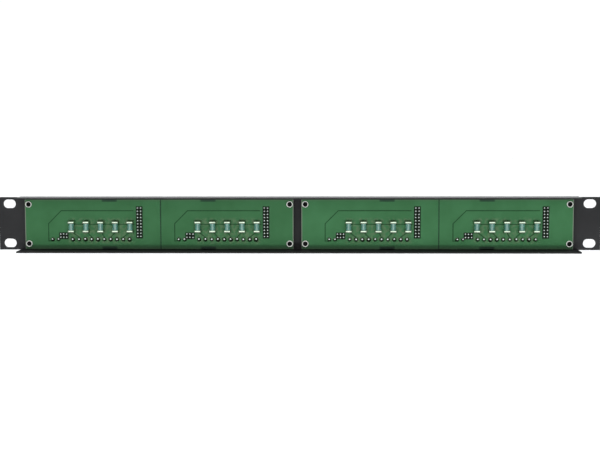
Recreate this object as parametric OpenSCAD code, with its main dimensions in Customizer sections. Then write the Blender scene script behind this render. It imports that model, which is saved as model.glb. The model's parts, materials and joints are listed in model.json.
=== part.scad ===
// Rack patch panel, one unit high, with four identical wiring modules on two boards.
// Millimetres. X runs along the panel, +Y points out of the panel's front, Z is up.
// The origin is the centre of the four rack slots, on the rear face of the ears.

/* [Rack panel] */
// Overall width over both ears
panel_w = 482.6; // [478:0.1:486]
// Height of the folded tray over both flanges
tray_h = 43.7; // [42.4:0.1:44.4]
// How far each ear edge lies inside the tray's height
ear_step = 0.6; // [0:0.1:1]
// Depth of the flanges behind the panel
flange_d = 20; // [14:0.5:40]
// Thickness of the sheet
sheet_t = 1.2; // [1:0.1:2]
// Inside radius of the bends
bend_r = 0.8; // [0.3:0.1:1.5]
// Length of tray left free beyond the boards at each end
tray_margin = 4.2; // [1:0.1:5]

/* [Rack slots] */
// Distance between the slot columns
slot_span = 465.1; // [463:0.1:467]
// Distance between the slots of one column
slot_rise = 31.75; // [30:0.05:32]
// Length of a slot from end to end
slot_l = 10; // [8:0.1:12]
// Width of a slot
slot_w = 7; // [5.5:0.1:7.5]

/* [Boards] */
// Width of one module on a board
module_w = 101.6; // [98:0.1:103]
// Plain border at each end of a board
border_w = 6.2; // [6:0.1:8]
// Gap between the two boards
board_gap = 6.4; // [4:0.1:9]
// Gap between a board's long edges and the flanges
board_edge_gap = 0.5; // [0.3:0.05:0.8]
// Thickness of a board
board_t = 1.6; // [1:0.1:2.4]
// Distance of the fixing holes from a board's short edges
hole_inset_x = 3; // [2.9:0.1:3.6]
// Distance of the fixing holes from a board's long edges
hole_inset_z = 4.3; // [3.2:0.1:6]
// Distance of the score line from a board's middle, to the right
score_x = 1.5; // [0:0.1:3]
// Width of the score line between two modules
score_w = 0.5; // [0.2:0.1:1]
// Depth of the score line
score_d = 0.35; // [0.1:0.05:0.5]
// Distance of the break-off notches from a board's middle
notch_x = 39.6; // [30:0.1:44]
// Length of a break-off notch along the edge
notch_l = 11.6; // [8:0.1:13]
// Depth of a break-off notch
notch_d = 0.3; // [0.2:0.05:1]
// Radius of the cutter that made the notches
notch_r = 0.2; // [0.1:0.05:0.2]

/* [Standoffs and screws] */
// Distance between the panel and a board
standoff_h = 4; // [3:0.1:6]
// Diameter of a standoff
standoff_dia = 5.4; // [5.2:0.1:5.8]
// Diameter of a standoff's shank in the board
shank_dia = 4.5; // [4.3:0.1:4.6]
// Thickness of the collar that clinches a standoff behind the board
collar_t = 0.5; // [0.3:0.05:1]
// Diameter of the screws
screw_dia = 3.5; // [2.5:0.1:3.6]
// Length of a screw over its head
screw_l = 4.6; // [4:0.1:5]
// Diameter of a countersunk head
head_dia = 6.2; // [5.6:0.1:6.6]
// Height of a countersunk head
head_h = 1.1; // [0.8:0.05:1.2]
// Width of the cross recess
recess_w = 0.7; // [0.5:0.05:0.9]
// Length of the cross recess
recess_l = 3.1; // [2.6:0.1:3.4]
// Depth of the cross recess
recess_d = 0.75; // [0.5:0.05:0.8]

/* [Patch sockets] */
// Number of ways
ways = 10; // [8:1:10]
// Distance between the contacts
way_pitch = 5.08; // [5:0.01:5.1]
// Centre of the contact row from the module's centre
row_x = 4.24; // [2:0.01:5]
// Height of the contact row above a board's lower edge
row_edge = 7.8; // [6.8:0.1:8]
// Width of a square contact
contact_w = 1; // [0.8:0.05:1.1]
// Length of a contact above the socket floor
contact_l = 6.9; // [5:0.1:8]
// Depth of a socket from the board to its mouth
socket_d = 12; // [10:0.1:14]
// Thickness of the socket floor
socket_floor = 3.6; // [2.5:0.1:4.5]
// Thickness of the long walls
socket_wall = 1; // [0.7:0.1:1.2]
// Thickness of the end walls
socket_end = 0.6; // [0.5:0.1:0.8]
// Room above the contacts
room_above = 1.1; // [0.9:0.1:1.4]
// Room below the contacts, where a plug's body goes
room_below = 4.5; // [4.3:0.1:4.6]
// Width of a coding rib
rib_w = 1.2; // [0.8:0.1:2]
// Height of a coding rib
rib_h = 0.5; // [0.3:0.1:0.7]
// How far a coding rib stops short of the mouth
rib_inset = 1; // [0.5:0.1:3]

/* [Ribbon headers] */
// Number of pins in a column
pin_rows = 10; // [8:1:10]
// Distance between the pins
pin_pitch = 2.54; // [2.5:0.01:2.56]
// Width of a square pin
pin_w = 0.64; // [0.5:0.02:0.7]
// Length of a pin above the header floor
pin_l = 5; // [4:0.1:6]
// Width of a header
header_w = 8.8; // [8.6:0.1:9]
// Length of a header past the outer pins, at each end
header_end = 5.07; // [4:0.01:5.4]
// Depth of a header from the board to its mouth
header_d = 9; // [8.5:0.1:10]
// Thickness of the header floor
header_floor = 2.6; // [2:0.1:3]
// Thickness of the header walls
header_wall = 1.1; // [0.8:0.1:1.3]
// Width of the key slot in a header's wall
key_w = 4.5; // [4:0.1:5]
// Gap between a socket and its header
header_gap = 0.5; // [0.4:0.05:1]
// Distance of a header from a board's upper edge
header_edge = 2.3; // [1.2:0.1:2.6]

/* [Slide switches] */
// Length of a switch
switch_l = 7; // [6.8:0.1:7.2]
// Width of a switch
switch_w = 4.4; // [4.2:0.1:4.8]
// Gap between a switch and its socket
switch_gap = 0.6; // [0.4:0.1:1]
// Height of a switch's centre above the contact row
switch_rise = 2.9; // [2.8:0.1:3.4]
// Thickness of the switch base
base_t = 1.2; // [0.9:0.1:1.3]
// Thickness of the steel frame
frame_t = 0.3; // [0.2:0.05:0.35]
// Travel of the slider
slider_travel = 2; // [1.6:0.1:2.1]
// Thickness of the carriage inside the frame
carriage_t = 0.9; // [0.7:0.1:1]
// Width of the knob
knob_w = 1.8; // [1.6:0.1:2]
// How far the knob stands out of the panel's front
knob_out = 1.8; // [1:0.1:3]
// Distance between the terminals
terminal_pitch = 2.4; // [2.2:0.05:2.5]
// Distance between the two terminal rows
terminal_rise = 2.6; // [2.4:0.05:2.7]
// Width of a square terminal
terminal_w = 0.6; // [0.5:0.05:0.7]
// Width of a moving bridge
bridge_w = 0.5; // [0.3:0.05:0.6]

/* [Lamps] */
// Diameter of the lens
lens_dia = 5; // [4.6:0.1:5.2]
// Diameter of the base flange
lamp_base_dia = 5.9; // [5.7:0.1:6]
// Thickness of the base flange
lamp_base_t = 1; // [0.8:0.1:1.5]
// How far the lens stands out of the panel's front
lens_out = 3.1; // [2.8:0.1:5]
// Distance between the two leads
lead_pitch = 4.6; // [4:0.1:4.8]
// Width of a square lead
lead_w = 0.5; // [0.4:0.05:0.6]
// Gap between a lamp and its switch
lamp_gap = 0.2; // [0.15:0.05:0.6]

/* [Resistors] */
// Number of resistors in a module
resistors = 5; // [3:1:5]
// Distance between the resistors
resistor_pitch = 11.8; // [8:0.1:12]
// Height of the resistors' centres above the contact row
resistor_rise = 10.2; // [8:0.1:14]
// Diameter of a resistor's body
body_dia = 4.4; // [3.4:0.1:4.6]
// Length of a resistor's body between its caps
body_l = 5.5; // [4:0.1:5.8]
// Width of a square end cap
cap_w = 5; // [4.8:0.1:5.2]
// Extra height of an end cap over the body
cap_extra = 0.3; // [0.1:0.05:0.5]
// Length of an end cap
cap_l = 1.7; // [1:0.1:1.8]
// Width of the solder under a cap
solder_w = 5.4; // [5.2:0.1:5.8]
// Height of the solder against a cap
solder_h = 2; // [1:0.1:2.2]
// How far the solder reaches past a cap
solder_out = 0.6; // [0.4:0.1:1]

/* [Solder joints] */
// Height of the large solder cones
cone_h = 1.2; // [0.8:0.1:1.6]
// Width of the solder round a large pin
cone_ring = 0.9; // [0.5:0.05:1]
// Height of the small solder cones
small_cone_h = 0.8; // [0.5:0.1:1.2]
// Width of the solder round a small pin
small_cone_ring = 0.5; // [0.3:0.05:0.55]
// How far a pin stands out of its solder
pin_out = 0.6; // [0.3:0.1:1]

/* [Fits] */
// Gap round connectors, knobs and lenses in the panel
window_gap = 0.3; // [0.2:0.05:0.4]
// Gap round pins in housings, and round screws and shanks
close_gap = 0.05; // [0.02:0.01:0.1]
// Gap round pins in the boards
drill_gap = 0.1; // [0.05:0.01:0.15]
// Running gap of the sliders
slide_gap = 0.1; // [0.05:0.01:0.15]
// Gap between the switch frames and the panel
frame_gap = 0.3; // [0.2:0.05:0.4]

/* [Hidden] */
$fn = 48;
cut = 1;

panel_front = sheet_t;
board_front = -standoff_h;
board_rear = board_front - board_t;

ear_h = tray_h - 2 * ear_step;
board_w = 2 * module_w + 2 * border_w;
board_h = tray_h - 2 * sheet_t - 2 * board_edge_gap;
tray_l = 2 * board_w + board_gap + 2 * tray_margin;
board_x = (board_w + board_gap) / 2;
hole_x = board_w / 2 - hole_inset_x;
hole_z = board_h / 2 - hole_inset_z;

row_z = -board_h / 2 + row_edge;
socket_l = ways * way_pitch + 2 * socket_end;
socket_top = row_z + contact_w / 2 + room_above + socket_wall;
socket_bottom = row_z - contact_w / 2 - room_below - socket_wall;
socket_mouth = board_front + socket_d;
socket_floor_y = board_front + socket_floor;

header_l = (pin_rows - 1) * pin_pitch + 2 * header_end;
header_x = row_x + socket_l / 2 + header_gap + header_w / 2;
header_z = board_h / 2 - header_edge - header_l / 2;
header_mouth = board_front + header_d;
header_floor_y = board_front + header_floor;

switch_x = row_x - socket_l / 2 - switch_gap - switch_l / 2;
switch_z = row_z + switch_rise;
base_top = board_front + base_t;
frame_top = -frame_gap;
carriage_top = frame_top - frame_t - slide_gap;
carriage_l = switch_l - 2 * frame_t - slider_travel - 2 * slide_gap;
carriage_w = switch_w - 2 * frame_t - 2 * slide_gap;
bridge_t = carriage_top - carriage_t - base_top - slide_gap;
slider_rest = -slider_travel / 2;

lamp_x = switch_x - switch_l / 2 - lamp_gap - lamp_base_dia / 2;
resistor_z = row_z + resistor_rise;
cap_h = body_dia + cap_extra;

way_offsets = [for (i = [0:ways - 1]) (i - (ways - 1) / 2) * way_pitch];
pin_offsets = [for (i = [0:pin_rows - 1]) (i - (pin_rows - 1) / 2) * pin_pitch];
resistor_offsets = [for (i = [0:resistors - 1]) (i - (resistors - 1) / 2) * resistor_pitch];
terminal_places = [for (i = [-1:1]) for (j = [-1, 1]) [i * terminal_pitch, j * terminal_rise / 2]];

module_count = 4;
function module_board(m) = m <= 2 ? -1 : 1;
function module_side(m) = m % 2 == 1 ? -1 : 1;
function module_x(m) = module_board(m) * board_x + module_side(m) * module_w / 2;

MODULE_PIECES = [
    "patch_socket", "patch_contacts", "ribbon_header", "ribbon_pins",
    "switch_base", "switch_frame", "switch_terminals", "switch_slider", "switch_bridges",
    "lamp_lens", "lamp_leads", "resistor_bodies", "resistor_caps"
];
NODES = concat(
    ["front_panel", "left_board", "right_board", "left_standoffs", "right_standoffs",
     "left_screws", "right_screws"],
    [for (m = [1:module_count]) for (piece = MODULE_PIECES) str(piece, "_", m)]
);
node = "all";
function wanted(name) = node == "all" || node == name;

// Box between two heights y0 and y1 along Y, centred on X and Z
module slab(size_x, size_z, y0, y1) {
    translate([-size_x / 2, y0, -size_z / 2])
        cube([size_x, y1 - y0, size_z]);
}

// Cylinder along Y between y0 and y1
module rod(dia, y0, y1) {
    translate([0, y1, 0])
        rotate([90, 0, 0])
            cylinder(h = y1 - y0, d = dia);
}

// Cone along Y, dia0 wide at y0 and dia1 wide at y1
module cone(dia0, dia1, y0, y1) {
    translate([0, y0, 0])
        rotate([-90, 0, 0])
            cylinder(h = y1 - y0, d1 = dia0, d2 = dia1);
}

module at_module(m) {
    translate([module_x(m), 0, 0])
        children();
}

module at_fixing_holes(side) {
    for (x = [-hole_x, hole_x], z = [-hole_z, hole_z])
        translate([side * board_x + x, 0, z])
            children();
}

// Drilled hole that clears a square pin
function drill_dia(width) = width * sqrt(2) + 2 * drill_gap;

// Square pin from its tip in front to its stub behind the board, with its solder cone
module soldered_pin(width, tip_y, ring, height) {
    slab(width, width, board_rear - height - pin_out, tip_y);
    cone(width, drill_dia(width) + 2 * ring, board_rear - height, board_rear);
}

// Profile of the folded tray: depth along its first axis, height along its second
module tray_outline(height, front, radius) {
    translate([-flange_d, -height / 2])
        square([flange_d + front - radius, height]);
    translate([-flange_d, -height / 2 + radius])
        square([flange_d + front, height - 2 * radius]);
    for (side = [-1, 1])
        translate([front - radius, side * (height / 2 - radius)])
            circle(r = radius);
}

module tray_profile() {
    difference() {
        tray_outline(tray_h, sheet_t, bend_r + sheet_t);
        tray_outline(tray_h - 2 * sheet_t, 0, bend_r);
    }
}

module rack_slot() {
    for (side = [-1, 1])
        translate([side * (slot_l - slot_w) / 2, 0, 0])
            rod(slot_w, -cut, panel_front + cut);
    slab(slot_l - slot_w, slot_w, -cut, panel_front + cut);
}

// Windows in the panel for one module
module module_windows() {
    translate([row_x, 0, (socket_top + socket_bottom) / 2])
        slab(socket_l + 2 * window_gap, socket_top - socket_bottom + 2 * window_gap, -cut, panel_front + cut);
    translate([header_x, 0, header_z])
        slab(header_w + 2 * window_gap, header_l + 2 * window_gap, -cut, panel_front + cut);
    translate([switch_x, 0, switch_z])
        slab(knob_w + slider_travel + 2 * window_gap, knob_w + 2 * window_gap, -cut, panel_front + cut);
    translate([lamp_x, 0, row_z])
        rod(lens_dia + 2 * window_gap, -cut, panel_front + cut);
}

module screw_sink() {
    rod(screw_dia + 2 * close_gap, -cut, panel_front + cut);
    cone(screw_dia + 2 * close_gap, head_dia + 2 * close_gap, panel_front - head_h, panel_front);
}

module front_panel() {
    color("#373739")
        difference() {
            union() {
                slab(panel_w, ear_h, 0, panel_front);
                rotate([90, 0, 90])
                    linear_extrude(tray_l, center = true)
                        tray_profile();
            }
            for (x = [-slot_span / 2, slot_span / 2], z = [-slot_rise / 2, slot_rise / 2])
                translate([x, 0, z])
                    rack_slot();
            for (m = [1:module_count])
                at_module(m)
                    module_windows();
            for (side = [-1, 1])
                at_fixing_holes(side)
                    screw_sink();
        }
}

// Drilled holes of one module
module module_drillings() {
    for (x = way_offsets)
        translate([row_x + x, 0, row_z])
            rod(drill_dia(contact_w), board_rear - cut, board_front + cut);
    for (z = pin_offsets, x = [-pin_pitch / 2, pin_pitch / 2])
        translate([header_x + x, 0, header_z + z])
            rod(drill_dia(pin_w), board_rear - cut, board_front + cut);
    for (place = terminal_places)
        translate([switch_x + place[0], 0, switch_z + place[1]])
            rod(drill_dia(terminal_w), board_rear - cut, board_front + cut);
    for (x = [-lead_pitch / 2, lead_pitch / 2])
        translate([lamp_x + x, 0, row_z])
            rod(drill_dia(lead_w), board_rear - cut, board_front + cut);
}

// Notch in a board's long edge, where the board was broken out of a larger sheet
module edge_notch() {
    for (side = [-1, 1])
        translate([side * (notch_l / 2 - notch_r), 0, notch_r - notch_d])
            rod(2 * notch_r, board_rear - cut, board_front + cut);
    translate([0, 0, -(notch_d - cut) / 2])
        slab(notch_l - 2 * notch_r, notch_d + cut, board_rear - cut, board_front + cut);
    translate([0, 0, (notch_r - notch_d + cut) / 2])
        slab(notch_l, notch_d - notch_r + cut, board_rear - cut, board_front + cut);
}

module board(side) {
    color("#44704c")
        difference() {
            translate([side * board_x, 0, 0])
                slab(board_w, board_h, board_rear, board_front);
            translate([side * board_x + score_x, 0, 0])
                slab(score_w, board_h + 2 * cut, board_rear - cut, board_rear + score_d);
            for (x = [-notch_x, notch_x], turn = [0, 180])
                translate([side * board_x + x, 0, 0])
                    rotate([0, turn, 0])
                        translate([0, 0, board_h / 2])
                            edge_notch();
            at_fixing_holes(side)
                rod(shank_dia + 2 * close_gap, board_rear - cut, board_front + cut);
            for (m = [1:module_count])
                if (module_board(m) == side)
                    at_module(m)
                        module_drillings();
        }
}

// Threaded standoffs: a body in front of the board, a shank through it and a collar behind it
module standoffs(side) {
    color("#c4c8c4")
        at_fixing_holes(side)
            difference() {
                union() {
                    rod(standoff_dia, board_front, 0);
                    rod(shank_dia, board_rear - collar_t / 2, board_front + collar_t / 2);
                    rod(standoff_dia, board_rear - collar_t, board_rear);
                }
                rod(screw_dia + 2 * close_gap, board_rear - collar_t - cut, cut);
            }
}

module screws(side) {
    color("#2c2c2e")
        at_fixing_holes(side)
            difference() {
                union() {
                    rod(screw_dia, panel_front - screw_l, panel_front - head_h / 2);
                    cone(screw_dia, head_dia, panel_front - head_h, panel_front);
                }
                for (turn = [0, 90])
                    rotate([0, turn, 0])
                        slab(recess_l, recess_w, panel_front - recess_d, panel_front + cut);
            }
}

module patch_socket() {
    color("#2f7d46")
        difference() {
            union() {
                difference() {
                    translate([row_x, 0, (socket_top + socket_bottom) / 2])
                        slab(socket_l, socket_top - socket_bottom, board_front, socket_mouth);
                    translate([row_x, 0, (socket_top + socket_bottom) / 2])
                        slab(ways * way_pitch, socket_top - socket_bottom - 2 * socket_wall,
                             socket_floor_y, socket_mouth + cut);
                }
                for (i = [0:ways - 2])
                    translate([row_x + (way_offsets[i] + way_offsets[i + 1]) / 2, 0,
                               socket_top - socket_wall - rib_h / 2])
                        slab(rib_w, rib_h, socket_floor_y - cut, socket_mouth - rib_inset);
            }
            for (x = way_offsets)
                translate([row_x + x, 0, row_z])
                    slab(contact_w + 2 * close_gap, contact_w + 2 * close_gap,
                         board_front - cut, socket_floor_y + cut);
        }
}

module patch_contacts() {
    color("#d8dcd8")
        for (x = way_offsets)
            translate([row_x + x, 0, row_z])
                soldered_pin(contact_w, socket_floor_y + contact_l, cone_ring, cone_h);
}

module ribbon_header() {
    color("#232325")
        translate([header_x, 0, header_z])
            difference() {
                slab(header_w, header_l, board_front, header_mouth);
                slab(header_w - 2 * header_wall, header_l - 2 * header_wall,
                     header_floor_y, header_mouth + cut);
                translate([-header_w / 2, 0, 0])
                    slab(2 * header_wall + cut, key_w, header_floor_y, header_mouth + cut);
                for (z = pin_offsets, x = [-pin_pitch / 2, pin_pitch / 2])
                    translate([x, 0, z])
                        slab(pin_w + 2 * close_gap, pin_w + 2 * close_gap,
                             board_front - cut, header_floor_y + cut);
            }
}

module ribbon_pins() {
    color("#d9c98a")
        for (z = pin_offsets, x = [-pin_pitch / 2, pin_pitch / 2])
            translate([header_x + x, 0, header_z + z])
                soldered_pin(pin_w, header_floor_y + pin_l, small_cone_ring, small_cone_h);
}

module switch_base() {
    color("#2a2622")
        translate([switch_x, 0, switch_z])
            difference() {
                slab(switch_l, switch_w, board_front, base_top);
                for (place = terminal_places)
                    translate([place[0], 0, place[1]])
                        slab(terminal_w + 2 * close_gap, terminal_w + 2 * close_gap,
                             board_front - cut, base_top + cut);
            }
}

module switch_terminals() {
    color("#d8dcd8")
        for (place = terminal_places)
            translate([switch_x + place[0], 0, switch_z + place[1]])
                soldered_pin(terminal_w, base_top, small_cone_ring, small_cone_h);
}

// Steel can over the base, with the slot that the knob runs in
module switch_frame() {
    color("#b9bcbe")
        translate([switch_x, 0, switch_z])
            difference() {
                slab(switch_l, switch_w, base_top, frame_top);
                slab(switch_l - 2 * frame_t, switch_w - 2 * frame_t, base_top - cut, frame_top - frame_t);
                slab(knob_w + slider_travel + 2 * slide_gap, knob_w + 2 * slide_gap, base_top, frame_top + cut);
            }
}

module switch_slider() {
    color("#e6e4dc")
        translate([switch_x + slider_rest, 0, switch_z])
            union() {
                slab(carriage_l, carriage_w, carriage_top - carriage_t, carriage_top);
                slab(knob_w, knob_w, carriage_top - carriage_t, panel_front + knob_out);
            }
}

// Two moving bridges under the carriage, each long enough to join two terminals of its row
module switch_bridges() {
    color("#c9a24d")
        for (place = [-1, 1])
            translate([switch_x + slider_rest, 0, switch_z + place * terminal_rise / 2])
                slab(carriage_l, bridge_w, carriage_top - carriage_t - bridge_t, carriage_top - carriage_t);
}

module lamp_lens() {
    color("#c23b2e")
        translate([lamp_x, 0, row_z]) {
            rod(lamp_base_dia, board_front, board_front + lamp_base_t);
            rod(lens_dia, board_front, panel_front + lens_out - lens_dia / 2);
            translate([0, panel_front + lens_out - lens_dia / 2, 0])
                sphere(d = lens_dia);
        }
}

module lamp_leads() {
    color("#d8dcd8")
        for (x = [-lead_pitch / 2, lead_pitch / 2])
            translate([lamp_x + x, 0, row_z])
                soldered_pin(lead_w, board_front, cone_ring, cone_h);
}

module at_resistors() {
    for (x = resistor_offsets)
        translate([row_x + x, board_rear - cap_h / 2, resistor_z])
            children();
}

module resistor_bodies() {
    color("#64968c")
        at_resistors()
            cylinder(h = body_l, d = body_dia, center = true);
}

// Solder under one cap, which slopes down to the board past the cap's end
module cap_solder() {
    rotate([90, 0, 90])
        linear_extrude(solder_w, center = true)
            polygon([
                [0, 0], [0, cap_l + solder_out], [-solder_h, cap_l], [-solder_h, 0]
            ]);
}

// End caps, each with the solder that seats it on the board
module resistor_caps() {
    color("#dfe8df")
        at_resistors()
            for (end = [0, 180])
                rotate([0, end, 0]) {
                    translate([-cap_w / 2, -cap_h / 2, body_l / 2])
                        cube([cap_w, cap_h, cap_l]);
                    translate([0, cap_h / 2, body_l / 2])
                        cap_solder();
                }
}

if (wanted("front_panel")) front_panel();
if (wanted("left_board")) board(-1);
if (wanted("right_board")) board(1);
if (wanted("left_standoffs")) standoffs(-1);
if (wanted("right_standoffs")) standoffs(1);
if (wanted("left_screws")) screws(-1);
if (wanted("right_screws")) screws(1);
for (m = [1:module_count]) {
    if (wanted(str("patch_socket_", m))) at_module(m) patch_socket();
    if (wanted(str("patch_contacts_", m))) at_module(m) patch_contacts();
    if (wanted(str("ribbon_header_", m))) at_module(m) ribbon_header();
    if (wanted(str("ribbon_pins_", m))) at_module(m) ribbon_pins();
    if (wanted(str("switch_base_", m))) at_module(m) switch_base();
    if (wanted(str("switch_frame_", m))) at_module(m) switch_frame();
    if (wanted(str("switch_terminals_", m))) at_module(m) switch_terminals();
    if (wanted(str("switch_slider_", m))) at_module(m) switch_slider();
    if (wanted(str("switch_bridges_", m))) at_module(m) switch_bridges();
    if (wanted(str("lamp_lens_", m))) at_module(m) lamp_lens();
    if (wanted(str("lamp_leads_", m))) at_module(m) lamp_leads();
    if (wanted(str("resistor_bodies_", m))) at_module(m) resistor_bodies();
    if (wanted(str("resistor_caps_", m))) at_module(m) resistor_caps();
}
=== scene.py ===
"""Rack patch panel seen from its wiring side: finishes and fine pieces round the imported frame."""

from __future__ import annotations

import json
import logging
import math
import random
from dataclasses import dataclass
from enum import Enum
from typing import Any, Iterable, Mapping, Optional, Sequence, Union

import bmesh
import bpy
from mathutils import Matrix, Quaternion, Vector

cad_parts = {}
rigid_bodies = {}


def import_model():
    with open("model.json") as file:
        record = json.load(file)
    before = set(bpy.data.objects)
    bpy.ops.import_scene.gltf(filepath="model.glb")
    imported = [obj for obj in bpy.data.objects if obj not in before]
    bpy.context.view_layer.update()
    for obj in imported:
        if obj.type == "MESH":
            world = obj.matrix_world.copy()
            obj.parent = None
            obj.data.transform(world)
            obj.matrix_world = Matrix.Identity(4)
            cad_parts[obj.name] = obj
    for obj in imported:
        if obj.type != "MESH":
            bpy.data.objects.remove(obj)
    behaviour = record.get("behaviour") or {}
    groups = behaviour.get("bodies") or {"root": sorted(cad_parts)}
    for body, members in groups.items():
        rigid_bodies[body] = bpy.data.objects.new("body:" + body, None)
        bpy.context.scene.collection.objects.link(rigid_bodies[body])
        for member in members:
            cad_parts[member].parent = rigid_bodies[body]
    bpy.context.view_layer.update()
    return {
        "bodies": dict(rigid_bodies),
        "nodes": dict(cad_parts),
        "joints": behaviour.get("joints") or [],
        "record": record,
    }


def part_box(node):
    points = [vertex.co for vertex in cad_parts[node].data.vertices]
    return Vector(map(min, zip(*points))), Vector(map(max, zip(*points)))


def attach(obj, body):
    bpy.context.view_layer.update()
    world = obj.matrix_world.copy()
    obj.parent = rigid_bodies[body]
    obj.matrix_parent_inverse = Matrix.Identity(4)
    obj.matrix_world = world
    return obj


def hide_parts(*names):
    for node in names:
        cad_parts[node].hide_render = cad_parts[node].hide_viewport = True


MM = 0.001
MERGE = 0.0005 * MM
FLAT = math.radians(0.5)
SHARP = math.radians(30)
CAP_CREASE = math.radians(50)
PIN_CREASE = math.radians(60)
EDGE_STEPS = 2
BLOCK_STEPS = 3
LEAST_MITRE = 0.2
NOISE_MIDDLE = 0.5
CLOUD_STEPS = (0.3, 0.7)
WHITE = (1.0, 1.0, 1.0)
PATCH_PITCH = 5.08 * MM
RIBBON_PITCH = 2.54 * MM
RESISTOR_PITCH = 11.8 * MM
RESISTORS = 5
REAR = Vector((0, -1, 0))
FRONT = Vector((0, 1, 0))
UP = Vector((0, 0, 1))
MODULES = (1, 2, 3, 4)
PANEL_BODY = "panel"
LOG = logging.getLogger("patch_panel")

Colour = tuple[float, float, float]
Point = tuple[float, float, float]
Window = tuple[float, float, float, float]
Pair = tuple[float, float]
Profile = list[Pair]
Frame = Mapping[str, Any]
Corners = list[bmesh.types.BMVert]


class Side(Enum):
    """The two halves of the panel, named as seen from the wiring side."""

    LEFT = "left"
    RIGHT = "right"


class Slot(Enum):
    """Material slots of the record."""

    PANEL = "panel_black"
    BOARD = "board_green"
    STANDOFF = "standoff_tin"
    SCREW = "screw_black"
    SOCKET = "socket_green"
    CONTACT = "contact_tin"
    HEADER = "header_black"
    SWITCH = "switch_black"
    FRAME = "frame_steel"
    SLIDER = "slider_white"
    BRIDGE = "bridge_brass"
    LAMP = "lamp_red"
    RESISTOR = "resistor_teal"
    SOLDER = "cap_solder"


class Value:
    """A shader socket; Python operators on it add Math nodes."""

    def __init__(self, graph: Graph, socket: Optional[bpy.types.NodeSocket]) -> None:
        """Wraps a node's output, or None on a node that has none."""
        self.graph = graph
        self.socket = socket

    def math(self, operation: str, *operands: Number) -> Value:
        """Adds a Math node with these inputs, in order, and gives its output."""
        return self.graph.node("ShaderNodeMath", {"operation": operation}, dict(enumerate(operands)))

    def __add__(self, other: Number) -> Value:
        """Sum, in either order."""
        return self.math("ADD", self, other)

    def __sub__(self, other: Number) -> Value:
        """Difference."""
        return self.math("SUBTRACT", self, other)

    def __rsub__(self, other: Number) -> Value:
        """Difference with a number first."""
        return self.math("SUBTRACT", other, self)

    def __mul__(self, other: Number) -> Value:
        """Product, in either order."""
        return self.math("MULTIPLY", self, other)

    __radd__, __rmul__ = __add__, __mul__

    def __abs__(self) -> Value:
        """Size without sign."""
        return self.math("ABSOLUTE", self)

    def least(self, other: Number) -> Value:
        """The smaller of two values."""
        return self.math("MINIMUM", self, other)

    def around(self, centre: float, spread: float) -> Value:
        """Noise that is brought round another middle, with another spread."""
        return centre + spread * (self - NOISE_MIDDLE)

    def step(self, start: float, end: float) -> Value:
        """A soft step.

        Args:
            start: The value at which the result is 0.
            end: The value at which the result is 1; it may be the lower one.

        Returns:
            A value from 0 to 1.
        """
        low, high, first, last = (start, end, 0.0, 1.0) if start < end else (end, start, 1.0, 0.0)
        settings = {"interpolation_type": "SMOOTHSTEP", "clamp": True}
        return self.graph.node("ShaderNodeMapRange", settings, {0: self, 1: low, 2: high, 3: first, 4: last})

    def within(self, half: float, soft: float) -> Value:
        """1 where the value is below a half width and 0 above it, with a blurred rim."""
        return self.step(half + soft, half - soft)


Number = Union[Value, float]
Tint = Union[Value, Colour]


class Graph:
    """The node tree of one material, or of the surroundings."""

    def __init__(self, owner: Union[bpy.types.Material, bpy.types.World]) -> None:
        """Starts an empty tree in a material or world."""
        owner.use_nodes = True
        self.tree = owner.node_tree
        self.tree.nodes.clear()
        self.place = self.node("ShaderNodeTexCoord", {}, {}, "Object")

    def node(
        self, kind: str, settings: Mapping[str, Any], inputs: Mapping[Any, Any], output: Any = 0
    ) -> Value:
        """Adds a node.

        Args:
            kind: The node's type.
            settings: Properties, which are set first.
            inputs: Values or links, by socket name or number.
            output: The output that is wanted, or None on a node that has none.

        Returns:
            That output.
        """
        made = self.tree.nodes.new(kind)
        for name, value in settings.items():
            setattr(made, name, value)
        for key, value in inputs.items():
            if isinstance(value, Value):
                self.tree.links.new(value.socket, made.inputs[key])
            elif isinstance(value, tuple) and len(value) == 3 and made.inputs[key].type == "RGBA":
                made.inputs[key].default_value = (*value, 1.0)
            else:
                made.inputs[key].default_value = value
        return Value(self, None if output is None else made.outputs[output])

    def parts(self, vector: Value) -> list[Value]:
        """The X, Y and Z of a vector."""
        made = self.node("ShaderNodeSeparateXYZ", {}, {0: vector})
        return [Value(self, output) for output in made.socket.node.outputs]

    def noise(self, size: float, detail: float = 2.0) -> Value:
        """Soft noise round 0.5, from the size of its blotches in metres and its octaves."""
        inputs = {"Vector": self.place, "Scale": 1.0 / size, "Detail": detail}
        return self.node("ShaderNodeTexNoise", {}, inputs)

    def mix(self, amount: Number, first: Tint, second: Tint) -> Value:
        """Blends two colours, from the first at 0 to the second at 1."""
        return self.node("ShaderNodeMix", {"data_type": "RGBA"}, {0: amount, 6: first, 7: second}, 2)

    def mottle(self, cloud: Value, first: Tint, second: Tint) -> Value:
        """Blends two colours in clouds, with the first where the noise is low."""
        return self.mix(cloud.step(*CLOUD_STEPS), first, second)

    def bump(self, height: Value, depth: float, strength: float = 0.5) -> Value:
        """A normal bent by a height, where a height of 1 is that many metres deep."""
        inputs = {"Strength": strength, "Distance": depth, "Height": height}
        return self.node("ShaderNodeBump", {}, inputs, "Normal")

    def surface(self, **inputs: Any) -> None:
        """Ends the tree in a Principled shader, whose sockets are named with _ for a space."""
        named = {key.replace("_", " "): value for key, value in inputs.items()}
        shader = self.node("ShaderNodeBsdfPrincipled", {}, named)
        self.node("ShaderNodeOutputMaterial", {}, {"Surface": shader}, None)


@dataclass(frozen=True)
class Finish:
    """A finish that fills one of the record's slots."""

    name: str
    slot: Slot

    def material(self) -> bpy.types.Material:
        """The finish as a material, made on its first use."""
        found = bpy.data.materials.get(self.name)
        if found is None:
            found = bpy.data.materials.new(self.name)
            self.paint(Graph(found))
        return found

    def paint(self, graph: Graph) -> None:
        """Fills the graph."""
        raise NotImplementedError


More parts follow.
